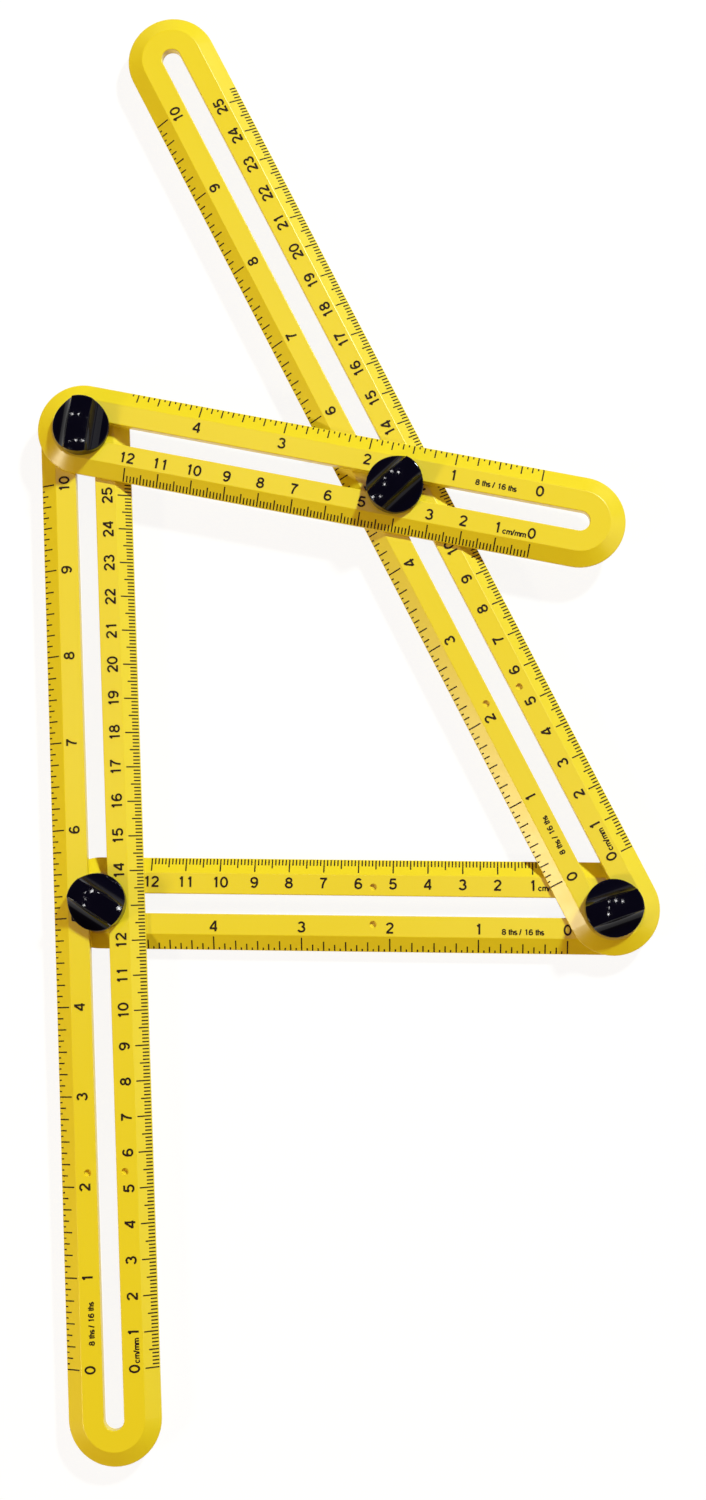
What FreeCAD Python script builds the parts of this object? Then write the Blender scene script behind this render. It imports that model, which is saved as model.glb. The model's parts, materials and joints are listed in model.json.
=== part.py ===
import FreeCAD, Part
import math
import os

import Sketcher

# Multi-angle folding ruler: four slotted plastic arms held by four clamp knobs.
# Two long arms lie between two short ones. The lower short arm is the lowest layer,
# both long arms share the middle layer, and the upper short arm is the top layer.
# A clamp joins each crossing: a button with a bolt from below, a washer and a knob above.
# The origin is on the lower left clamp's axis, on the face that the ruler rests on.
# X runs to the right, Y runs up along the left arm and Z points up. Sizes are in mm.

SIZES = {
    # arms
    "arm_width": 26.4,
    "arm_thickness": 3.6,
    "long_slot_length": 284.0,
    "short_slot_length": 148.0,
    "slot_play": 0.4,
    "bevel_width": 4.4,
    "edge_wall": 1.1,
    "crest_radius": 0.5,
    "arm_edge_radius": 0.25,
    "pit_diameter": 2.0,
    "pit_depth": 1.0,
    "pit_station": 68.7,
    "pit_offset": 5.35,
    # where the clamps sit
    "slot_end_play": 0.25,
    "left_clamp_span": 138.5,
    "upper_clamp_span": 93.4,
    "base_slope": 3.08,
    # running gap between pieces stacked on each other
    "seat_gap": 0.1,
    # button under each clamp
    "button_diameter": 16.0,
    "button_thickness": 2.2,
    "button_edge_radius": 0.6,
    "tongue_play": 0.15,
    "tongue_reach": 3.0,
    "tongue_headroom": 1.1,
    # bolt
    "bolt_diameter": 4.9,
    "bolt_tip_chamfer": 0.5,
    "head_flats": 8.0,
    "head_thickness": 1.4,
    "head_play": 0.1,
    "button_bore_play": 0.05,
    # washer
    "washer_diameter": 10.0,
    "washer_thickness": 1.0,
    "washer_bore_play": 0.2,
    # brass nut inside the knob
    "nut_flats": 7.0,
    "nut_thickness": 3.4,
    "nut_play": 0.05,
    "thread_play": 0.05,
    # knob
    "knob_diameter": 16.6,
    "knob_height": 7.0,
    "knob_crown": 0.7,
    "knob_gap": 0.3,
    "knob_base_radius": 0.3,
    "knob_roof": 1.5,
    "grip_width": 6.2,
    "knob_edge_radius": 0.4,
    "scoop_radius": 6.0,
    "scoop_floor": 2.0,
    "recess_play": 0.4,
    "bolt_hole_play": 0.3,
    # direction of each knob's grip, from the X axis
    "upper_left_grip_angle": 79.0,
    "upper_right_grip_angle": 40.0,
    "lower_right_grip_angle": 17.0,
    "lower_left_grip_angle": -34.5,
}

# A point this close to a height or an edge counts as on it.
NEAR = 0.01
HEXAGON = 6
RIGHT_ANGLE = 90

# Sizes that follow from the ones above, as expressions on the sheet.
SLOT_WIDTH = "(sizes.bolt_diameter + 2 * sizes.slot_play)"
BEVEL_DROP = "(sizes.arm_thickness - sizes.edge_wall)"
BOLT_BORE = "(sizes.bolt_diameter + 2 * sizes.button_bore_play)"
BOLT_HOLE = "(sizes.bolt_diameter + 2 * sizes.bolt_hole_play)"
BOLT_HOLE_DEPTH = "(sizes.knob_height - sizes.knob_roof)"
TWO_ARMS = "(2 * sizes.arm_thickness + sizes.seat_gap)"
BOLT_LENGTH = ("sizes.button_thickness + sizes.seat_gap + %s + sizes.knob_gap + %s - sizes.bolt_hole_play"
               % (TWO_ARMS, BOLT_HOLE_DEPTH))
# The washer lies in a recess, so the knob's rim comes down to the knob gap.
RECESS_DEPTH = "(2 * sizes.seat_gap + sizes.washer_thickness - sizes.knob_gap)"
KNOB_WALL = "(sizes.knob_height - sizes.knob_crown)"

doc = FreeCAD.newDocument("folding_ruler")
sheet = doc.addObject("Spreadsheet::Sheet", "sizes")


def fill_sheet():
    for row, (alias, value) in enumerate(SIZES.items(), 1):
        sheet.set("A%d" % row, alias.replace("_", " "))
        sheet.set("B%d" % row, str(value))
        sheet.setAlias("B%d" % row, alias)
    doc.recompute()


def amount(expression):
    return float(sheet.evalExpression(expression))


def size(alias):
    return amount("sizes." + alias)


# Sketch and feature helpers

def new_body(label):
    body = doc.addObject("PartDesign::Body", label)
    body.Label = label
    return body


def origin_plane(body, role):
    for feature in body.Origin.OriginFeatures:
        if feature.Role == role:
            return feature
    raise ValueError("no plane called " + role)


def new_sketch(body, name, role="XY_Plane", height=None):
    sketch = body.newObject("Sketcher::SketchObject", name)
    sketch.AttachmentSupport = [(origin_plane(body, role), "")]
    sketch.MapMode = "FlatFace"
    if height:
        sketch.setExpression("AttachmentOffset.Base.z", height)
    return sketch


def relate(sketch, kind, *where):
    sketch.addConstraint(Sketcher.Constraint(kind, *where))


def bind(sketch, name, expression, kind, *where):
    # A dimension that takes its value from the sheet.
    dimension = Sketcher.Constraint(kind, *where, amount(expression))
    index = sketch.addConstraint(dimension)
    sketch.renameConstraint(index, name)
    sketch.setExpression("Constraints." + name, expression)


def bind_side(sketch, name, expression, direction, geometry, side):
    # Distance of a circle's centre from the origin, on the plus or the minus side.
    if side > 0:
        bind(sketch, name, expression, direction, -1, 1, geometry, 3)
    else:
        bind(sketch, name, expression, direction, geometry, 3, -1, 1)


def add_line(sketch, start, end):
    first = FreeCAD.Vector(start[0], start[1], 0)
    last = FreeCAD.Vector(end[0], end[1], 0)
    return sketch.addGeometry(Part.LineSegment(first, last), False)


def add_circle(sketch, centre, radius, helper_line=False):
    middle = FreeCAD.Vector(centre[0], centre[1], 0)
    circle = Part.Circle(middle, FreeCAD.Vector(0, 0, 1), radius)
    return sketch.addGeometry(circle, helper_line)


def add_arc(sketch, centre, radius, start, end):
    middle = FreeCAD.Vector(centre[0], centre[1], 0)
    circle = Part.Circle(middle, FreeCAD.Vector(0, 0, 1), radius)
    return sketch.addGeometry(Part.ArcOfCircle(circle, start, end), False)


def circle_sketch(body, name, diameter, height=None):
    sketch = new_sketch(body, name, height=height)
    circle = add_circle(sketch, (0, 0), amount(diameter) / 2)
    relate(sketch, "Coincident", circle, 3, -1, 1)
    bind(sketch, "diameter", diameter, "Diameter", circle)
    return sketch


def round_ended_sketch(body, name, length, width, height=None):
    # A bar with round ends: one end's centre is at the origin, the other's on the X axis.
    sketch = new_sketch(body, name, height=height)
    run = amount(length)
    radius = amount(width) / 2
    quarter = math.pi / 2
    near_end = add_arc(sketch, (0, 0), radius, quarter, 3 * quarter)
    far_end = add_arc(sketch, (run, 0), radius, -quarter, quarter)
    top = add_line(sketch, (0, radius), (run, radius))
    bottom = add_line(sketch, (0, -radius), (run, -radius))
    relate(sketch, "Tangent", near_end, 1, top, 1)
    relate(sketch, "Tangent", top, 2, far_end, 2)
    relate(sketch, "Tangent", near_end, 2, bottom, 1)
    relate(sketch, "Tangent", bottom, 2, far_end, 1)
    relate(sketch, "Equal", near_end, far_end)
    relate(sketch, "Coincident", near_end, 3, -1, 1)
    relate(sketch, "PointOnObject", far_end, 3, -1)
    bind(sketch, "run", length, "DistanceX", -1, 1, far_end, 3)
    bind(sketch, "end_radius", width + " / 2", "Radius", near_end)
    return sketch


def hexagon_sketch(body, name, flats, height=None):
    # A hexagon with two flats square to the X axis.
    sketch = new_sketch(body, name, height=height)
    reach = amount(flats) / math.sqrt(3)
    circle = add_circle(sketch, (0, 0), reach, helper_line=True)
    corners = []
    for number in range(HEXAGON):
        angle = 2 * math.pi * (number + 0.5) / HEXAGON
        corners.append((reach * math.cos(angle), reach * math.sin(angle)))
    lines = []
    for number in range(HEXAGON):
        lines.append(add_line(sketch, corners[number - 1], corners[number]))
    relate(sketch, "Coincident", circle, 3, -1, 1)
    for number in range(HEXAGON):
        relate(sketch, "Coincident", lines[number - 1], 2, lines[number], 1)
        relate(sketch, "PointOnObject", lines[number], 1, circle)
    for number in range(1, HEXAGON):
        relate(sketch, "Equal", lines[0], lines[number])
    relate(sketch, "Vertical", lines[0])
    bind(sketch, "corner_radius", flats + " / sqrt(3)", "Radius", circle)
    return sketch


def pad(body, sketch, name, length):
    feature = body.newObject("PartDesign::Pad", name)
    feature.Profile = sketch
    feature.setExpression("Length", length)
    doc.recompute()
    return feature


def pocket(body, sketch, name, depth=None, upwards=False, both_ways=False):
    before = body.Shape.Volume
    feature = body.newObject("PartDesign::Pocket", name)
    feature.Profile = sketch
    feature.Reversed = upwards
    feature.Midplane = both_ways
    if depth:
        feature.setExpression("Length", depth)
    else:
        feature.Type = "ThroughAll"
    doc.recompute()
    if feature.Shape.Volume > before - NEAR:
        raise ValueError(name + " cuts nothing")
    return feature


def named_edges(shape, wanted):
    names = []
    for number, edge in enumerate(shape.Edges, 1):
        middle = edge.valueAt((edge.FirstParameter + edge.LastParameter) / 2)
        if wanted(middle):
            names.append("Edge%d" % number)
    return names


def round_edges(body, base, names, name, radius):
    feature = body.newObject("PartDesign::Fillet", name)
    feature.Base = (base, names)
    feature.setExpression("Radius", radius)
    doc.recompute()
    return feature


def outline_edges(shape, length, height, reach):
    # The edges at one height that run round the slot's line at one distance.
    def wanted(middle):
        along = min(max(middle.x, 0.0), length)
        distance = math.hypot(middle.x - along, middle.y)
        return abs(middle.z - height) < NEAR and abs(distance - reach) < NEAR
    return named_edges(shape, wanted)


# Arms

def make_arm(label, slot_alias, pit_station=None):
    body = new_body(label)
    length = size(slot_alias)
    slot_length = "sizes." + slot_alias
    half_width = size("arm_width") / 2
    thickness = size("arm_thickness")

    outline = round_ended_sketch(body, label + "_outline", slot_length, "sizes.arm_width")
    blank = pad(body, outline, label + "_blank", "sizes.arm_thickness")

    bevel = body.newObject("PartDesign::Chamfer", label + "_bevel")
    bevel.Base = (blank, outline_edges(blank.Shape, length, thickness, half_width))
    bevel.ChamferType = "Two distances"
    bevel.FlipDirection = True
    bevel.setExpression("Size", "sizes.bevel_width")
    bevel.setExpression("Size2", BEVEL_DROP)
    doc.recompute()

    crest_line = half_width - size("bevel_width")
    crest_edges = outline_edges(bevel.Shape, length, thickness, crest_line)
    crest = round_edges(body, bevel, crest_edges, label + "_crest", "sizes.crest_radius")

    rims = outline_edges(crest.Shape, length, 0, half_width)
    rims += outline_edges(crest.Shape, length, size("edge_wall"), half_width)
    round_edges(body, crest, rims, label + "_rims", "sizes.arm_edge_radius")

    opening = round_ended_sketch(body, label + "_slot_outline", slot_length, SLOT_WIDTH,
                                 "sizes.arm_thickness")
    slot = pocket(body, opening, label + "_slot")
    half_slot = amount(SLOT_WIDTH) / 2
    lips = outline_edges(slot.Shape, length, 0, half_slot)
    lips += outline_edges(slot.Shape, length, thickness, half_slot)
    round_edges(body, slot, lips, label + "_slot_lips", "sizes.arm_edge_radius")

    if pit_station:
        pits = pit_sketch(body, label + "_pit_outline", pit_station)
        pocket(body, pits, label + "_pits", "sizes.pit_depth")
    return body


def pit_sketch(body, name, station):
    # One small moulding pit on each side of the slot.
    sketch = new_sketch(body, name, height="sizes.arm_thickness")
    for side, word in ((1, "left"), (-1, "right")):
        centre = (amount(station), side * size("pit_offset"))
        circle = add_circle(sketch, centre, size("pit_diameter") / 2)
        bind(sketch, word + "_diameter", "sizes.pit_diameter", "Diameter", circle)
        bind(sketch, word + "_station", station, "DistanceX", -1, 1, circle, 3)
        bind_side(sketch, word + "_offset", "sizes.pit_offset", "DistanceY", circle, side)
    return sketch


# Clamp pieces. Each has its clamp's axis on Z and its underside at zero height.

def make_button(label):
    body = new_body(label)
    disc = circle_sketch(body, label + "_outline", "sizes.button_diameter")
    plate = pad(body, disc, label + "_plate", "sizes.button_thickness")
    thickness = size("button_thickness")

    def on_rim(middle):
        return abs(middle.z) < NEAR or abs(middle.z - thickness) < NEAR

    rims = named_edges(plate.Shape, on_rim)
    round_edges(body, plate, rims, label + "_rims", "sizes.button_edge_radius")

    key = round_ended_sketch(body, label + "_tongue_outline", "sizes.tongue_reach",
                             "(%s - 2 * sizes.tongue_play)" % SLOT_WIDTH, "sizes.button_thickness")
    pad(body, key, label + "_tongue", "sizes.seat_gap + sizes.arm_thickness - sizes.tongue_headroom")

    seat = hexagon_sketch(body, label + "_head_outline", "(sizes.head_flats + 2 * sizes.head_play)")
    pocket(body, seat, label + "_head_seat", "sizes.head_thickness", upwards=True)
    bore = circle_sketch(body, label + "_bore_outline", BOLT_BORE)
    pocket(body, bore, label + "_bore", upwards=True)
    return body


def add_prism(label, flats, height):
    # A six-sided prism with two flats square to the X axis.
    prism = doc.addObject("Part::Prism", label)
    prism.Polygon = HEXAGON
    prism.setExpression("Circumradius", flats + " / sqrt(3)")
    prism.setExpression("Height", height)
    upright = FreeCAD.Vector(0, 0, 1)
    prism.Placement.Rotation = FreeCAD.Rotation(upright, 180 / HEXAGON)
    return prism


def add_cylinder(label, diameter, height):
    cylinder = doc.addObject("Part::Cylinder", label)
    cylinder.setExpression("Radius", diameter + " / 2")
    cylinder.setExpression("Height", height)
    return cylinder


def make_bolt(label):
    blank = doc.addObject("Part::Fuse", label + "_blank")
    blank.Base = add_prism(label + "_head", "sizes.head_flats", "sizes.head_thickness")
    blank.Tool = add_cylinder(label + "_shank", "sizes.bolt_diameter", BOLT_LENGTH)
    doc.recompute()

    bolt = doc.addObject("Part::Chamfer", label)
    bolt.Label = label
    bolt.Base = blank
    cut = size("bolt_tip_chamfer")
    tip = blank.Shape.BoundBox.ZMax
    ends = []
    for number, edge in enumerate(blank.Shape.Edges, 1):
        if edge.BoundBox.ZMin > tip - NEAR:
            ends.append((number, cut, cut))
    bolt.Edges = ends
    doc.recompute()
    return bolt


def make_ring(label, outside, bore):
    ring = doc.addObject("Part::Cut", label)
    ring.Label = label
    ring.Base = outside
    ring.Tool = bore
    doc.recompute()
    return ring


def make_washer(label):
    height = "sizes.washer_thickness"
    outside = add_cylinder(label + "_outside", "sizes.washer_diameter", height)
    width = "(sizes.bolt_diameter + 2 * sizes.washer_bore_play)"
    return make_ring(label, outside, add_cylinder(label + "_bore", width, height))


def make_nut(label):
    height = "sizes.nut_thickness"
    outside = add_prism(label + "_outside", "sizes.nut_flats", height)
    width = "(sizes.bolt_diameter + 2 * sizes.thread_play)"
    return make_ring(label, outside, add_cylinder(label + "_bore", width, height))


def knob_section(body, name):
    # Half of the knob's section: flat base, upright wall and a low crown.
    sketch = new_sketch(body, name, role="XZ_Plane")
    wide = size("knob_diameter") / 2
    wall = amount(KNOB_WALL)
    tall = size("knob_height")
    crown = tall - wall
    sphere = (wide * wide + crown * crown) / (2 * crown)
    base = add_line(sketch, (0, 0), (wide, 0))
    side = add_line(sketch, (wide, 0), (wide, wall))
    start = math.asin((sphere - crown) / sphere)
    top = add_arc(sketch, (0, tall - sphere), sphere, start, math.pi / 2)
    axis = add_line(sketch, (0, tall), (0, 0))
    relate(sketch, "Coincident", base, 1, -1, 1)
    relate(sketch, "Horizontal", base)
    relate(sketch, "Coincident", base, 2, side, 1)
    relate(sketch, "Vertical", side)
    relate(sketch, "Coincident", side, 2, top, 1)
    relate(sketch, "PointOnObject", top, 3, -2)
    relate(sketch, "Coincident", top, 2, axis, 1)
    relate(sketch, "Coincident", axis, 2, base, 1)
    relate(sketch, "Vertical", axis)
    bind(sketch, "radius", "sizes.knob_diameter / 2", "DistanceX", base, 1, base, 2)
    bind(sketch, "wall", KNOB_WALL, "DistanceY", side, 1, side, 2)
    bind(sketch, "tall", "sizes.knob_height", "DistanceY", axis, 2, axis, 1)
    return sketch


def scoop_sketch(body, name):
    # Two round scoops that leave the grip standing between them. Each circle passes
    # through the grip's edge at the height of the wall.
    sketch = new_sketch(body, name, role="XZ_Plane")
    height = "(sizes.scoop_floor + sizes.scoop_radius)"
    above = "(%s - %s)" % (height, KNOB_WALL)
    reach = "sizes.grip_width / 2 + sqrt(sizes.scoop_radius ^ 2 - %s ^ 2)" % above
    for side, word in ((1, "right"), (-1, "left")):
        centre = (side * amount(reach), amount(height))
        circle = add_circle(sketch, centre, size("scoop_radius"))
        bind(sketch, word + "_radius", "sizes.scoop_radius", "Radius", circle)
        bind_side(sketch, word + "_reach", reach, "DistanceX", circle, side)
        bind(sketch, word + "_height", height, "DistanceY", -1, 1, circle, 3)
    return sketch


def make_knob(label):
    # The grip runs along the body's Y axis.
    body = new_body(label)
    section = knob_section(body, label + "_section")
    turned = body.newObject("PartDesign::Revolution", label + "_turned")
    turned.Profile = section
    turned.ReferenceAxis = (section, ["V_Axis"])
    doc.recompute()

    def on_base(middle):
        return abs(middle.z) < NEAR and abs(middle.y) + abs(middle.x) > NEAR

    base_edge = named_edges(turned.Shape, on_base)
    round_edges(body, turned, base_edge, label + "_base_edge", "sizes.knob_base_radius")
    scoops = pocket(body, scoop_sketch(body, label + "_scoop_outline"), label + "_scoops",
                    both_ways=True)

    radius = size("knob_diameter") / 2
    wall = amount(KNOB_WALL)
    floor = size("scoop_floor")
    half_grip = size("grip_width") / 2

    def on_sharp_edge(middle):
        on_side = math.hypot(middle.x, middle.y) > radius - NEAR
        scoop_rim = on_side and abs(middle.x) > half_grip and middle.z > floor - NEAR
        beside_top = abs(middle.x) < half_grip + NEAR and abs(middle.y) > NEAR
        return scoop_rim or (beside_top and middle.z > wall - NEAR)

    sharp_edges = named_edges(scoops.Shape, on_sharp_edge)
    round_edges(body, scoops, sharp_edges, label + "_edges", "sizes.knob_edge_radius")

    recess_width = "sizes.washer_diameter + 2 * sizes.recess_play"
    recess = circle_sketch(body, label + "_recess_outline", recess_width)
    pocket(body, recess, label + "_recess", RECESS_DEPTH, upwards=True)
    seat = hexagon_sketch(body, label + "_nut_outline", "(sizes.nut_flats + 2 * sizes.nut_play)")
    seat_depth = RECESS_DEPTH + " + sizes.nut_thickness + sizes.seat_gap"
    pocket(body, seat, label + "_nut_seat", seat_depth, upwards=True)
    hole = circle_sketch(body, label + "_bolt_hole_outline", BOLT_HOLE)
    pocket(body, hole, label + "_bolt_hole", BOLT_HOLE_DEPTH, upwards=True)
    return body


# Layout

def clamp_points():
    # The lower left clamp is the origin. The lower right and upper right clamps are
    # equally far from it, so the folding arms stay true while the frame folds.
    reach = size("short_slot_length") - 2 * size("slot_end_play")
    left = size("left_clamp_span")
    top = size("upper_clamp_span")
    slope = math.radians(size("base_slope"))
    rise = (left ** 2 + reach ** 2 - top ** 2) / (2 * left)
    return {
        "lower_left": FreeCAD.Vector(0, 0, 0),
        "upper_left": FreeCAD.Vector(0, left, 0),
        "upper_right": FreeCAD.Vector(math.sqrt(reach ** 2 - rise ** 2), rise, 0),
        "lower_right": FreeCAD.Vector(reach * math.cos(slope), -reach * math.sin(slope), 0),
    }


def heading(start, end):
    return math.degrees(math.atan2(end.y - start.y, end.x - start.x))


def layer_height(layer):
    # Underside of an arm: layer 0 rests on the lowest buttons.
    first = size("button_thickness") + size("seat_gap")
    return first + layer * (size("arm_thickness") + size("seat_gap"))


def place(part, point, height, angle):
    position = FreeCAD.Vector(point.x, point.y, height)
    turn = FreeCAD.Rotation(FreeCAD.Vector(0, 0, 1), angle)
    part.Placement = FreeCAD.Placement(position, turn)


def place_arm(arm, end_clamp, angle, layer):
    # The slot's first end lies just past the clamp, by the play at the slot's end.
    back = size("slot_end_play")
    direction = FreeCAD.Vector(math.cos(math.radians(angle)), math.sin(math.radians(angle)), 0)
    place(arm, end_clamp - direction * back, layer_height(layer), angle)


def build_arms(points):
    upper_left = points["upper_left"]
    lower_right = points["lower_right"]
    down = heading(upper_left, points["lower_left"])
    across = heading(upper_left, points["upper_right"])
    back = heading(lower_right, points["lower_left"])
    rising = heading(lower_right, points["upper_right"])
    # The pits lie near the end where the scales start. That is the left arm's far end,
    # and the upper arm has none.
    far_pits = "sizes.long_slot_length - sizes.pit_station"
    arms = [make_arm("left_long_arm", "long_slot_length", far_pits),
            make_arm("diagonal_long_arm", "long_slot_length", "sizes.pit_station"),
            make_arm("upper_short_arm", "short_slot_length"),
            make_arm("lower_short_arm", "short_slot_length", "sizes.pit_station")]
    place_arm(arms[0], upper_left, down, 1)
    place_arm(arms[1], lower_right, rising, 1)
    place_arm(arms[2], upper_left, across, 2)
    place_arm(arms[3], lower_right, back, 0)
    return arms


def build_clamp(name, point, lower_layer, tongue_angle):
    # The tongue runs along the slot of the clamp's lower arm, towards the slot's middle.
    button = make_button(name + "_button")
    bolt = make_bolt(name + "_bolt")
    washer = make_washer(name + "_washer")
    nut = make_nut(name + "_nut")
    knob = make_knob(name + "_knob")
    gap = size("seat_gap")
    base = layer_height(lower_layer) - gap - size("button_thickness")
    arm_top = layer_height(lower_layer + 1) + size("arm_thickness")
    washer_base = arm_top + gap
    nut_base = washer_base + size("washer_thickness") + gap
    grip = size(name + "_grip_angle") - RIGHT_ANGLE
    place(button, point, base, tongue_angle)
    place(bolt, point, base, tongue_angle)
    place(washer, point, washer_base, 0)
    place(nut, point, nut_base, grip)
    place(knob, point, arm_top + size("knob_gap"), grip)
    return [button, bolt, washer, nut, knob]


def build_clamps(points):
    # Clamp name, layer of its lower arm and the clamp that its tongue points to.
    plan = [("upper_left", 1, "lower_left"),
            ("upper_right", 1, "lower_right"),
            ("lower_right", 0, "lower_left"),
            ("lower_left", 0, "lower_right")]
    pieces = []
    for name, layer, target in plan:
        angle = heading(points[name], points[target])
        pieces += build_clamp(name, points[name], layer, angle)
    return pieces


def check_and_export(parts):
    doc.recompute()
    for item in doc.Objects:
        if "Invalid" in item.State or "Error" in item.State:
            raise ValueError(item.Name + " failed")
    for part in parts:
        shape = part.Shape
        if shape.isNull() or not shape.isValid() or len(shape.Solids) != 1:
            raise ValueError(part.Label + " is not one valid solid")
    os.makedirs("parts", exist_ok=True)
    for part in parts:
        part.Shape.exportStep("parts/%s.step" % part.Label)


fill_sheet()
clamps = clamp_points()
check_and_export(build_arms(clamps) + build_clamps(clamps))
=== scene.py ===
"""The looks of the folding ruler: four slotted yellow arms with printed scales, clamped by black knobs."""
import json
import math

import bmesh
import bpy
from mathutils import Matrix, Quaternion, Vector


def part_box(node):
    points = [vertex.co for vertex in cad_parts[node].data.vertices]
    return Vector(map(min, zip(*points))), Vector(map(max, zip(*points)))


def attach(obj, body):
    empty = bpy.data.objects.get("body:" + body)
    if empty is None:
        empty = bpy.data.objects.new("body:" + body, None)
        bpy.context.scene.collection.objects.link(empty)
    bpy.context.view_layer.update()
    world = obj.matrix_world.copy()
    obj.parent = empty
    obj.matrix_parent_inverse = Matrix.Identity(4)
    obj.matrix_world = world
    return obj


MM = 0.001

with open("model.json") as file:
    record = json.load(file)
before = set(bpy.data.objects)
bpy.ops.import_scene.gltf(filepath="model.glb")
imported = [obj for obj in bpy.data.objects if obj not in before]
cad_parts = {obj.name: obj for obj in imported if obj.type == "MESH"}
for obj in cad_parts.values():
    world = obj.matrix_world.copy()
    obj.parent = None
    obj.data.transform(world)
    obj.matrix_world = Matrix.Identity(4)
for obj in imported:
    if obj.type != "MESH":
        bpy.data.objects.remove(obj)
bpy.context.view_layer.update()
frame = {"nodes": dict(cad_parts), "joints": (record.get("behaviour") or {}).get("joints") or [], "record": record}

# The arms, in millimetres: half their width, the crest where each bevel starts, and the wall left at the
# edge. The bevel slopes by 29.6 degrees, so a length on it looks this much shorter from straight above.
ARM_HALF_WIDTH = 13.2
CREST_FROM_MIDDLE = 8.8
EDGE_WALL = 1.1
BEVEL_FROM_ABOVE = math.cos(math.radians(29.6))

# The scales' units, in millimetres, and how many parts an inch is divided into.
CENTIMETRE = 10
INCH = 25.4
INCH_PARTS = 16

# The printed marks, in millimetres: their lengths run inwards along the bevel from the outer end.
MARK_OUTER_END = 13.05
MARK_WIDTH = 0.39
MARK_THICKNESS = 0.05
MARK_PROUD = 0.012
LONG_MARK = 3.7 / BEVEL_FROM_ABOVE
MIDDLE_MARK = 2.6 / BEVEL_FROM_ABOVE
SHORT_MARK = 1.75 / BEVEL_FROM_ABOVE
DOT_MARK = 0.7 / BEVEL_FROM_ABOVE

# Every how many marks there is a long, a middle and a short one. The others are dots.
METRIC_RHYTHM = (10, 5, 1)
INCH_RHYTHM = (16, 4, 2)

# The printed numbers and unit words, in millimetres.
NUMBER_HEIGHT = 3.05
NUMBER_WIDTH = 2.2
NUMBER_FROM_MIDDLE = 6.3
UNIT_HEIGHT = 1.6
UNIT_WEIGHT = 1.25
INCH_WORDS = "8 ths / 16 ths"
INCH_WORDS_LENGTH = 12.0
INCH_WORDS_FROM_ZERO = 12.75
METRIC_WORDS = "cm/mm"
METRIC_WORDS_LENGTH = 6.8
METRIC_WORDS_FROM_ZERO = 5.0

# Each arm's scales run from one clamp towards another: where zero lies past the first clamp, in millimetres,
# how many millimetres and sixteenths of an inch are printed, which side of that direction the inches are on
# (1 is left), and which way the words read along it.
SCALES = {
    "left": dict(node="left_long_arm", body="left_arm", clamps=("lower_left", "upper_left"), zero=-131.27,
                 millimetres=254, sixteenths=160, inch_side=1, reads=1),
    "diagonal": dict(node="diagonal_long_arm", body="diagonal_arm", clamps=("lower_right", "upper_right"),
                     zero=13.35, millimetres=254, sixteenths=160, inch_side=1, reads=1),
    "upper": dict(node="upper_short_arm", body="upper_arm", clamps=("upper_right", "upper_left"), zero=-41.45,
                  millimetres=120, sixteenths=77, inch_side=-1, reads=-1),
    "lower": dict(node="lower_short_arm", body="base", clamps=("lower_right", "lower_left"), zero=12.8,
                  millimetres=120, sixteenths=77, inch_side=1, reads=-1),
}

# The camera: its place in metres, its turn as a rotation vector in degrees, its lens and sensor in
# millimetres, and the shift that the photograph's framing needs.
CAMERA_PLACE = Vector((0.10346, -0.01757, 0.67134))
CAMERA_TURN = Vector((6.126, 3.312, -2.528))
CAMERA_LENS = 55.41
CAMERA_SENSOR = 36
CAMERA_SHIFT = (0.0212, -0.0308)
CAMERA_CLIP_START = 0.01


class Value:
    """A socket's value in a node graph, which plain arithmetic works on."""

    def __init__(self, graph, socket):
        self.graph = graph
        self.socket = socket

    def math(self, operation, first, second):
        return self.graph.node("ShaderNodeMath", {"operation": operation}, {0: first, 1: second})

    def __add__(self, other):
        return self.math("ADD", self, other)

    __radd__ = __add__

    def __rsub__(self, other):
        return self.math("SUBTRACT", other, self)

    def __mul__(self, other):
        return self.math("MULTIPLY", self, other)

    __rmul__ = __mul__

    def __mod__(self, other):
        return self.math("MODULO", self, other)

    def __lt__(self, other):
        return self.math("LESS_THAN", self, other)


class Graph:
    """A node tree, built by calls that name a node, its settings and its inputs."""

    def __init__(self, tree):
        self.tree = tree

    def node(self, kind, settings, inputs, output=0):
        made = self.tree.nodes.new(kind)
        for name, value in settings.items():
            if name == "stops":
                self.set_stops(made.color_ramp, value)
            else:
                setattr(made, name, value)
        for name, value in inputs.items():
            if isinstance(value, Value):
                self.tree.links.new(value.socket, made.inputs[name])
            else:
                made.inputs[name].default_value = value
        return Value(self, made.outputs[output]) if made.outputs else None

    def set_stops(self, ramp, stops):
        while len(ramp.elements) < len(stops):
            ramp.elements.new(0.5)
        for element, (position, colour) in zip(ramp.elements, stops):
            element.position = position
            element.color = (*colour, 1)

    def ramp(self, value, stops):
        """Greys by a value: each stop is a position and how light it is there."""
        grey = [(position, (level, level, level)) for position, level in stops]
        return self.node("ShaderNodeValToRGB", {"stops": grey}, {"Fac": value})


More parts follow.
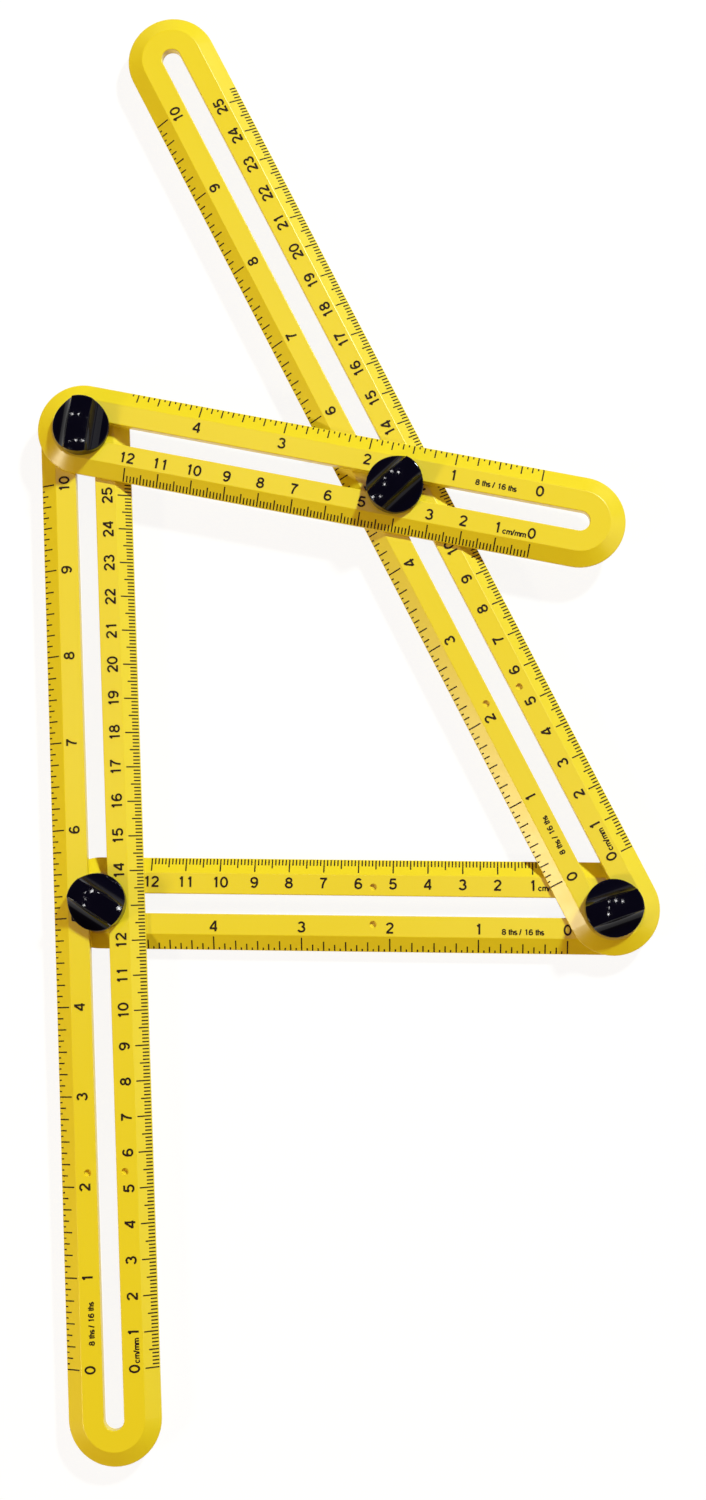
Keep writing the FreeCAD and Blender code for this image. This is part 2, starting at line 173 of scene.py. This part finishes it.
class Finish(Graph):
    """One material."""

    def __init__(self, name):
        self.material = bpy.data.materials.new(name)
        self.material.use_nodes = True
        super().__init__(self.material.node_tree)
        self.tree.nodes.clear()
        self.place = self.node("ShaderNodeTexCoord", {}, {}, "Object")

    def stretched(self, x, y, z):
        return self.node("ShaderNodeMapping", {}, {"Vector": self.place, "Scale": (x, y, z)})

    def noise(self, size, detail, vector=None):
        inputs = {"Vector": vector or self.place, "Scale": 1 / size, "Detail": detail, "Roughness": 0.55}
        return self.node("ShaderNodeTexNoise", {}, inputs, "Fac")

    def mix(self, factor, first, second):
        """Two colours mixed: on this node, sockets 6 and 7 take them and output 2 gives the mixture."""
        inputs = {0: factor, 6: (*first, 1), 7: (*second, 1)}
        return self.node("ShaderNodeMix", {"data_type": "RGBA"}, inputs, 2)

    def bump(self, height, distance):
        return self.node("ShaderNodeBump", {}, {"Height": height, "Distance": distance, "Strength": 1.0})

    def surface(self, **inputs):
        named = {name.replace("_", " "): value for name, value in inputs.items()}
        return self.shown(self.node("ShaderNodeBsdfPrincipled", {}, named))

    def shown(self, shader):
        self.node("ShaderNodeOutputMaterial", {}, {"Surface": shader})
        return self.material


# The sizes of each finish's patterns and the height of its bumps are in metres.
def arm_plastic():
    finish = Finish("yellow moulded plastic")
    cloud = finish.noise(size=0.030, detail=2.0)
    speck = finish.noise(size=0.004, detail=2.0)
    skin = finish.noise(size=0.0022, detail=2.0)
    deep_yellow = (0.870, 0.685, 0.014)
    pale_yellow = (0.895, 0.720, 0.018)
    return finish.surface(
        Base_Color=finish.mix(cloud, deep_yellow, pale_yellow),
        Roughness=0.27 + 0.05 * speck,
        IOR=1.5,
        Normal=finish.bump(skin, distance=0.000004),
    )


def knob_plastic():
    finish = Finish("glossy black plastic")
    smear = finish.noise(size=0.0035, detail=4.0)
    scratch = finish.noise(size=0.0006, detail=2.0, vector=finish.stretched(1.0, 9.0, 1.0))
    blue_black = (0.0016, 0.0014, 0.0060)
    worn_black = (0.0030, 0.0024, 0.0085)
    return finish.surface(
        Base_Color=finish.mix(smear, blue_black, worn_black),
        Roughness=0.03 + 0.04 * smear,
        IOR=1.25,
        Normal=finish.bump(scratch, distance=0.000001),
    )


def button_plastic():
    finish = Finish("satin black plastic")
    grain = finish.noise(size=0.0005, detail=3.0)
    soft_black = (0.016, 0.016, 0.017)
    dusty_black = (0.026, 0.025, 0.025)
    return finish.surface(
        Base_Color=finish.mix(grain, soft_black, dusty_black),
        Roughness=0.42 + 0.15 * grain,
        IOR=1.5,
        Normal=finish.bump(grain, distance=0.00001),
    )


def metal(name, dark, light, roughness):
    finish = Finish(name)
    cloud = finish.noise(size=0.0022, detail=3.0)
    lines = finish.noise(size=0.0005, detail=2.0, vector=finish.stretched(1.0, 1.0, 12.0))
    return finish.surface(
        Base_Color=finish.mix(cloud, dark, light),
        Metallic=1.0,
        Roughness=roughness + 0.16 * cloud,
        Normal=finish.bump(lines, distance=0.000003),
    )


def scale_ink():
    finish = Finish("scale ink")
    wear = finish.noise(size=0.0006, detail=3.0)
    dark_brown = (0.012, 0.004, 0.002)
    worn_brown = (0.030, 0.010, 0.003)
    return finish.surface(
        Base_Color=finish.mix(wear, dark_brown, worn_brown),
        Roughness=0.5 + 0.2 * wear,
        IOR=1.3,
    )


FINISHES = {
    "yellow_plastic": arm_plastic(),
    "knob_plastic": knob_plastic(),
    "button_plastic": button_plastic(),
    "brass_insert": metal("turned brass", (0.62, 0.40, 0.13), (0.74, 0.52, 0.22), roughness=0.22),
    "bright_steel": metal("bright steel", (0.55, 0.55, 0.56), (0.66, 0.66, 0.66), roughness=0.16),
    "zinc_steel": metal("zinc-plated steel", (0.50, 0.51, 0.53), (0.66, 0.66, 0.64), roughness=0.28),
}
INK = scale_ink()


def dress_nodes():
    for subpart in frame["record"]["subparts"]:
        node = frame["nodes"][subpart["node"]]
        node.data.materials.clear()
        node.data.materials.append(FINISHES[subpart["material_slot"]])


def new_piece(name, mesh, body):
    piece = bpy.data.objects.new(name, mesh)
    bpy.context.scene.collection.objects.link(piece)
    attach(piece, body)
    return piece


def clamp_axes():
    """Where each clamp's axis stands, from the joint that turns its knob."""
    ending = "_knob_turn"
    turns = [joint for joint in frame["joints"] if joint["name"].endswith(ending)]
    return {joint["name"].removesuffix(ending): Vector(joint["pos_m"]) for joint in turns}


class Maker(Graph):
    """A Geometry Nodes tree with named inputs."""

    def __init__(self, name):
        super().__init__(bpy.data.node_groups.new(name, "GeometryNodeTree"))
        self.tree.interface.new_socket("Geometry", in_out="OUTPUT", socket_type="NodeSocketGeometry")
        self.start = self.tree.nodes.new("NodeGroupInput")

    def input(self, name, kind):
        self.tree.interface.new_socket(name, in_out="INPUT", socket_type="NodeSocket" + kind)
        return Value(self, self.start.outputs[name])

    def made(self, geometry, material):
        plain = self.node("GeometryNodeRealizeInstances", {}, {"Geometry": geometry})
        flat = self.node("GeometryNodeSetShadeSmooth", {}, {"Geometry": plain, "Shade Smooth": False})
        dressed = self.node("GeometryNodeSetMaterial", {}, {"Geometry": flat, "Material": material})
        self.node("NodeGroupOutput", {}, {0: dressed})
        return self.tree


def marks_tree():
    """A row of marks on a bevel: x runs along the scale and y inwards up the bevel, before Place and Turn."""
    maker = Maker("row of scale marks")
    count = maker.input("Count", "Int")
    spacing = maker.input("Spacing", "Float")
    length = maker.input("Dot length", "Float")
    longer = [(maker.input(name + " every", "Int"), maker.input(name + " length", "Float"))
              for name in ("Short", "Middle", "Long")]
    width = maker.input("Width", "Float")
    thickness = maker.input("Thickness", "Float")
    place = maker.input("Place", "Vector")
    turn = maker.input("Turn", "Rotation")
    step = maker.node("ShaderNodeCombineXYZ", {}, {"X": spacing})
    points = maker.node("GeometryNodeMeshLine", {"mode": "OFFSET"}, {"Count": count, "Offset": step})
    index = maker.node("GeometryNodeInputIndex", {}, {})
    for every, this_length in longer:
        hit = index % every < 0.5
        length = hit * this_length + (1 - hit) * length
    size = maker.node("ShaderNodeCombineXYZ", {}, {"X": width, "Y": length, "Z": thickness})
    # The bar is a cube one wide, moved so that it starts at its point and grows inwards from there.
    bar = maker.node("GeometryNodeMeshCube", {}, {})
    bar = maker.node("GeometryNodeTransform", {}, {"Geometry": bar, "Translation": (0, 0.5, 0)})
    row = maker.node("GeometryNodeInstanceOnPoints", {}, {"Points": points, "Instance": bar, "Scale": size})
    row = maker.node("GeometryNodeTransform", {}, {"Geometry": row, "Translation": place, "Rotation": turn})
    return maker.made(row, INK)


def bars_tree():
    """Flat bars along drawn strokes, each as wide as Width times its points' radius."""
    maker = Maker("printed strokes")
    strokes = maker.input("Strokes", "Geometry")
    width = maker.input("Width", "Float")
    thickness = maker.input("Thickness", "Float")
    flat = maker.node("GeometryNodeSetCurveNormal", {"mode": "Z_UP"}, {"Curve": strokes})
    section = maker.node("GeometryNodeCurvePrimitiveQuadrilateral", {}, {"Width": width, "Height": thickness})
    radius = maker.node("GeometryNodeInputRadius", {}, {})
    parts = {"Curve": flat, "Profile Curve": section, "Scale": radius, "Fill Caps": True}
    return maker.made(maker.node("GeometryNodeCurveToMesh", {}, parts), INK)


def evaluated(holder, tree, inputs):
    """The plain mesh that a Geometry Nodes tree makes of an object, which is then removed."""
    modifier = holder.modifiers.new(tree.name, "NODES")
    modifier.node_group = tree
    for item in tree.interface.items_tree:
        if item.in_out == "INPUT" and item.name in inputs:
            modifier[item.identifier] = inputs[item.name]
    bpy.context.scene.collection.objects.link(holder)
    graph = bpy.context.evaluated_depsgraph_get()
    mesh = bpy.data.meshes.new_from_object(holder.evaluated_get(graph), depsgraph=graph)
    bpy.data.objects.remove(holder)
    return mesh


def joined(name, meshes):
    """One mesh of several that share a material."""
    whole = bmesh.new()
    for mesh in meshes:
        whole.from_mesh(mesh)
    for face in whole.faces:
        face.material_index = 0
    result = bpy.data.meshes.new(name)
    whole.to_mesh(result)
    whole.free()
    result.materials.append(INK)
    return result


# Each figure's strokes are drawn along their middle line, in a box one high and NUMBER_SHAPE wide. STROKE is
# how wide they are there. They lie on STROKE_LAYERS levels in turn, STROKE_STEP millimetres apart, so that
# two that cross don't share a face.
NUMBER_SHAPE = NUMBER_WIDTH / NUMBER_HEIGHT
STROKE = 0.175
STROKE_STEP = 0.004
STROKE_LAYERS = 3


def arc(middle, radii, start, end, step=15):
    """Points along part of an ellipse, from one angle to another in degrees."""
    count = max(2, round(abs(end - start) / step) + 1)
    turns = [math.radians(start + (end - start) * i / (count - 1)) for i in range(count)]
    return [(middle[0] + radii[0] * math.cos(turn), middle[1] + radii[1] * math.sin(turn)) for turn in turns]


def upside_down(strokes):
    return [[(NUMBER_SHAPE - x, 1 - y) for x, y in stroke] for stroke in strokes]


SIX = [
    arc((0.375, 0.31), (0.285, 0.247), 90, 450),
    arc((0.40, 0.47), (0.31, 0.465), 48, 200),
]
FIGURES = {
    "0": [arc((0.36, 0.5), (0.295, 0.437), 0, 360)],
    "1": [[(0.44, 0.0), (0.44, 1.0)], arc((0.14, 1.03), (0.30, 0.27), -6, -72)],
    "2": [arc((0.35, 0.70), (0.275, 0.237), 168, -32) + [(0.30, 0.30), (0.11, 0.11)],
          [(0.03, 0.062), (0.67, 0.062)]],
    "3": [arc((0.34, 0.725), (0.255, 0.212), 160, -80), arc((0.345, 0.295), (0.30, 0.233), 80, -162)],
    "4": [[(0.54, 0.0), (0.54, 1.0)], [(0.50, 0.96), (0.05, 0.29)], [(0.0, 0.27), (0.70, 0.27)]],
    "5": [[(0.64, 0.937), (0.14, 0.937)], [(0.18, 0.96), (0.10, 0.47)],
          arc((0.345, 0.33), (0.30, 0.268), 146, -158)],
    "6": SIX,
    "7": [[(0.04, 0.937), (0.69, 0.937)], arc((1.03, 0.02), (0.77, 1.06), 119, 180, 8)],
    "8": [arc((0.36, 0.735), (0.237, 0.202), 90, 450), arc((0.36, 0.29), (0.29, 0.228), 90, 450)],
    "9": upside_down(SIX),
    "/": [[(0.0, -0.02), (0.26, 1.02)]],
    "c": [arc((0.29, 0.36), (0.235, 0.30), 42, 318)],
    "m": [[(0.06, 0.0), (0.06, 0.72)], arc((0.235, 0.48), (0.175, 0.18), 180, 0) + [(0.41, 0.0)],
          arc((0.585, 0.48), (0.175, 0.18), 180, 0) + [(0.76, 0.0)]],
    "t": [[(0.13, 0.92), (0.13, 0.18)] + arc((0.24, 0.17), (0.11, 0.12), 190, 280),
          [(0.0, 0.66), (0.28, 0.66)]],
    "h": [[(0.06, 0.0), (0.06, 1.0)], arc((0.26, 0.46), (0.20, 0.20), 180, 0) + [(0.46, 0.0)]],
    "s": [arc((0.24, 0.50), (0.18, 0.165), 35, 265) + arc((0.25, 0.20), (0.20, 0.15), 80, -150)],
}

# How far on the next letter starts: after a figure, and after each of the others.
FIGURE_ADVANCE = 0.80
ADVANCE = {"/": 0.40, "c": 0.64, "m": 0.88, "t": 0.38, "h": 0.60, "s": 0.56, " ": 0.38}


def words_strokes(words):
    """The strokes of a few words in one row, and how long the row is, for figures one high."""
    strokes = []
    reach = 0.0
    for letter in words:
        for stroke in FIGURES.get(letter, []):
            strokes.append([(x + reach, y) for x, y in stroke])
        reach += ADVANCE.get(letter, FIGURE_ADVANCE)
    return strokes, reach - (FIGURE_ADVANCE - NUMBER_SHAPE)


class Arm:
    """Where an arm's scales lie, and the ink on them."""

    def __init__(self, name, axes, node, body, clamps, zero, millimetres, sixteenths, inch_side, reads):
        self.name = name
        self.body = body
        first, second = (axes[clamp] for clamp in clamps)
        low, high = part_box(node)
        self.along = (second - first).normalized()
        self.left = Vector((0, 0, 1)).cross(self.along)
        self.zero = first + self.along * zero * MM
        self.top = high.z
        self.edge = low.z + EDGE_WALL * MM
        self.millimetres = millimetres
        self.sixteenths = sixteenths
        self.inch_side = inch_side
        self.reads = reads

    def at(self, past_zero, to_left, height):
        """The point that many millimetres past the zero mark and to the left of the middle."""
        place = self.zero + (self.along * past_zero + self.left * to_left) * MM
        return Vector((place.x, place.y, height))

    def marks(self, side, count, spacing, rhythm):
        """One row of marks on the bevel that lies on that side."""
        run = (ARM_HALF_WIDTH - CREST_FROM_MIDDLE) * MM
        inwards = (self.left * -side * run + Vector((0, 0, self.top - self.edge))).normalized()
        out = self.left * side
        across = out.cross(Vector((0, 0, 1)))
        normal = across.cross(inwards)
        if normal.z < 0:
            across, normal = -across, -normal
        height = self.edge + (self.top - self.edge) * (ARM_HALF_WIDTH - MARK_OUTER_END) * MM / run
        sunk = (MARK_PROUD - MARK_THICKNESS / 2) * MM
        place = self.at(0, side * MARK_OUTER_END, height) + normal * sunk
        turn = Matrix((across, inwards, normal)).transposed().to_euler()
        holder = bpy.data.objects.new("marks", bpy.data.meshes.new("marks"))
        return evaluated(holder, MARKS, {
            "Count": count, "Spacing": spacing * MM * (1 if across.dot(self.along) > 0 else -1),
            "Long every": rhythm[0], "Middle every": rhythm[1], "Short every": rhythm[2],
            "Dot length": DOT_MARK * MM, "Long length": LONG_MARK * MM, "Middle length": MIDDLE_MARK * MM,
            "Short length": SHORT_MARK * MM, "Width": MARK_WIDTH * MM, "Thickness": MARK_THICKNESS * MM,
            "Place": place, "Turn": turn,
        })

    def write(self, curve, words, past_zero, side, height, length=None, weight=1.0):
        """Adds words to a curve, centred at a place along the scale, with the numbers' baseline."""
        strokes, reach = words_strokes(words)
        wide = length or reach * height
        base = NUMBER_FROM_MIDDLE * side * self.reads - NUMBER_HEIGHT / 2
        for layer, stroke in enumerate(strokes):
            lift = (MARK_PROUD + layer % STROKE_LAYERS * STROKE_STEP) * MM
            line = curve.splines.new("POLY")
            if math.dist(stroke[0], stroke[-1]) < STROKE / 2:
                line.use_cyclic_u = True
                stroke = stroke[:-1]
            line.points.add(len(stroke) - 1)
            for point, (x, y) in zip(line.points, stroke):
                along = past_zero + self.reads * (x / reach - 0.5) * wide
                place = self.at(along, self.reads * (base + y * height), self.top + lift)
                point.co = (*place, 1)
                point.radius = height * weight

    def words(self):
        """Both rows of numbers and their units."""
        curve = bpy.data.curves.new("strokes", "CURVE")
        curve.dimensions = "3D"
        for number in range(self.millimetres // CENTIMETRE + 1):
            self.write(curve, str(number), number * CENTIMETRE, -self.inch_side, NUMBER_HEIGHT)
        for number in range(self.sixteenths // INCH_PARTS + 1):
            self.write(curve, str(number), number * INCH, self.inch_side, NUMBER_HEIGHT)
        self.write(curve, INCH_WORDS, INCH_WORDS_FROM_ZERO, self.inch_side, UNIT_HEIGHT,
                   INCH_WORDS_LENGTH, UNIT_WEIGHT)
        self.write(curve, METRIC_WORDS, METRIC_WORDS_FROM_ZERO, -self.inch_side, UNIT_HEIGHT,
                   METRIC_WORDS_LENGTH, UNIT_WEIGHT)
        holder = bpy.data.objects.new("strokes", curve)
        return evaluated(holder, BARS, {"Width": STROKE * MM, "Thickness": MARK_THICKNESS * MM})

    def print_scales(self):
        """The arm's ink, as a piece of marks and a piece of numbers and unit words."""
        metric = self.marks(-self.inch_side, self.millimetres + 1, 1.0, METRIC_RHYTHM)
        inches = self.marks(self.inch_side, self.sixteenths + 1, INCH / INCH_PARTS, INCH_RHYTHM)
        marks = new_piece(self.name + "_scale_marks", joined("scale marks", [metric, inches]), self.body)
        numbers = new_piece(self.name + "_scale_numbers", self.words(), self.body)


def by_ray(graph, *rays):
    """One for the rays named, such as Camera, and nothing for the others."""
    return sum(graph.node("ShaderNodeLightPath", {}, {}, f"Is {ray} Ray") for ray in rays)


# The floor: its width in metres, the colour with which it lights the ruler, and, where it is looked at, the
# grey that takes the shadow and the white that is added to it.
FLOOR_WIDTH = 8
FLOOR_COLOUR = (0.80, 0.80, 0.80, 1)
FLOOR_SHADE = (0.13, 0.13, 0.13, 1)
FLOOR_WHITE = 0.90
WHITE = (1, 1, 1, 1)


def pale_floor():
    """A pale floor that the object's shadow falls on."""
    bpy.ops.mesh.primitive_plane_add(size=FLOOR_WIDTH)
    floor = bpy.context.object
    floor.name = "floor"
    finish = Finish("pale floor")
    lit = finish.node("ShaderNodeBsdfDiffuse", {}, {"Color": FLOOR_COLOUR})
    shade = finish.node("ShaderNodeBsdfDiffuse", {}, {"Color": FLOOR_SHADE})
    glow = finish.node("ShaderNodeEmission", {}, {"Color": WHITE, "Strength": FLOOR_WHITE})
    white = finish.node("ShaderNodeAddShader", {}, {0: shade, 1: glow})
    looked_at = by_ray(finish, "Camera", "Glossy", "Transmission")
    both = finish.node("ShaderNodeMixShader", {}, {0: looked_at, 1: lit, 2: white})
    floor.data.materials.append(finish.shown(both))


# The studio's ceiling in millimetres: its height, where the lamp groups hang above, and each group's lamps,
# as steps across and forwards and the lamp's width. CEILING_GLARE is how bright the face of each lamp is.
CEILING = 1000
LAMP_GROUPS = [(-230, 420), (45, 370), (220, 20), (-190, 80)]
LAMPS_IN_GROUP = [(-75, 60, 9), (5, 70, 16), (85, 60, 16), (-80, -10, 9), (-90, -85, 16)]
CEILING_GLARE = 150

# The walls: how light they are in gloss at each height from the horizon to straight up, the light that they
# give otherwise, and how white they are to the camera.
WALL_GREYS = [(0.0, 0.95), (0.03, 0.85), (0.10, 0.10), (0.5, 0.03), (0.9, 0.02)]
WARM_FILL = (0.25, 0.10, 0.03, 1)
BACKDROP_WHITE = 0.95

RULER_MIDDLE = Vector((0.07, 0.08, 0.0))


def lamp(name, place, target, size, watts, colour=(1, 1, 1)):
    light = bpy.data.lights.new(name, "AREA")
    light.shape = "DISK"
    light.size = size
    light.energy = watts
    light.color = colour
    holder = bpy.data.objects.new(name, light)
    bpy.context.scene.collection.objects.link(holder)
    holder.location = place
    holder.rotation_euler = (Vector(target) - Vector(place)).to_track_quat("-Z", "Y").to_euler()
    holder.visible_camera = False
    return holder


def light_from(name, heading, tilt, distance, size, watts, colour=(1, 1, 1)):
    """A lamp that shines at the ruler's middle, its heading from the X axis and its tilt from straight up."""
    flat = math.sin(math.radians(tilt))
    way = Vector((flat * math.cos(math.radians(heading)), flat * math.sin(math.radians(heading)),
                  math.cos(math.radians(tilt))))
    return lamp(name, RULER_MIDDLE + way * distance, RULER_MIDDLE, size, watts, colour)


def studio_lamps():
    """A key light from the upper right and a weaker one from the lower left, and for gloss alone a soft light
    from the right and small lamps in the ceiling."""
    light_from("key light", heading=50, tilt=46, distance=2.4, size=0.21, watts=55.0,
               colour=(0.85, 1.0, 0.98))
    light_from("second light", heading=209, tilt=55, distance=1.6, size=0.25, watts=8.4,
               colour=(1.0, 0.92, 0.66))
    soft = light_from("soft light", heading=-8, tilt=60, distance=0.8, size=0.7, watts=1.6)
    soft.visible_diffuse = False
    for group, (across, up) in enumerate(LAMP_GROUPS):
        for number, (right, forward, width) in enumerate(LAMPS_IN_GROUP):
            place = Vector((across + right, up + forward, CEILING)) * MM
            watts = CEILING_GLARE * (math.pi * width * MM / 2) ** 2
            spot = lamp(f"ceiling lamp {group} {number}", place, place - Vector((0, 0, 1)), width * MM, watts)
            spot.visible_diffuse = False


def studio_walls():
    """Pale low down and dark above where gloss mirrors them, a weak warm light, and white to the camera."""
    world = bpy.data.worlds.new("studio")
    world.use_nodes = True
    walls = Graph(world.node_tree)
    world.node_tree.nodes.clear()
    facing = walls.node("ShaderNodeTexCoord", {}, {}, "Generated")
    height = walls.node("ShaderNodeSeparateXYZ", {}, {"Vector": facing}, "Z")
    shade = walls.ramp(height, WALL_GREYS)
    mirrored = walls.node("ShaderNodeBackground", {}, {"Color": shade, "Strength": 1.0})
    fill = walls.node("ShaderNodeBackground", {}, {"Color": WARM_FILL, "Strength": 1.0})
    backdrop = walls.node("ShaderNodeBackground", {}, {"Color": WHITE, "Strength": BACKDROP_WHITE})
    in_gloss = by_ray(walls, "Glossy", "Transmission")
    unseen = walls.node("ShaderNodeMixShader", {}, {0: in_gloss, 1: fill, 2: mirrored})
    light = walls.node("ShaderNodeMixShader", {}, {0: by_ray(walls, "Camera"), 1: unseen, 2: backdrop})
    walls.node("ShaderNodeOutputWorld", {}, {"Surface": light})
    bpy.context.scene.world = world


def camera():
    data = bpy.data.cameras.new("camera")
    data.sensor_width = CAMERA_SENSOR
    data.lens = CAMERA_LENS
    data.shift_x, data.shift_y = CAMERA_SHIFT
    data.clip_start = CAMERA_CLIP_START
    holder = bpy.data.objects.new("camera", data)
    bpy.context.scene.collection.objects.link(holder)
    holder.location = CAMERA_PLACE
    holder.rotation_mode = "QUATERNION"
    holder.rotation_quaternion = Quaternion(CAMERA_TURN.normalized(), math.radians(CAMERA_TURN.length))
    bpy.context.scene.camera = holder
    bpy.context.scene.view_settings.view_transform = "Standard"


dress_nodes()
MARKS = marks_tree()
BARS = bars_tree()
AXES = clamp_axes()
for arm_name, scale in SCALES.items():
    Arm(arm_name, AXES, **scale).print_scales()
pale_floor()
studio_lamps()
studio_walls()
camera()
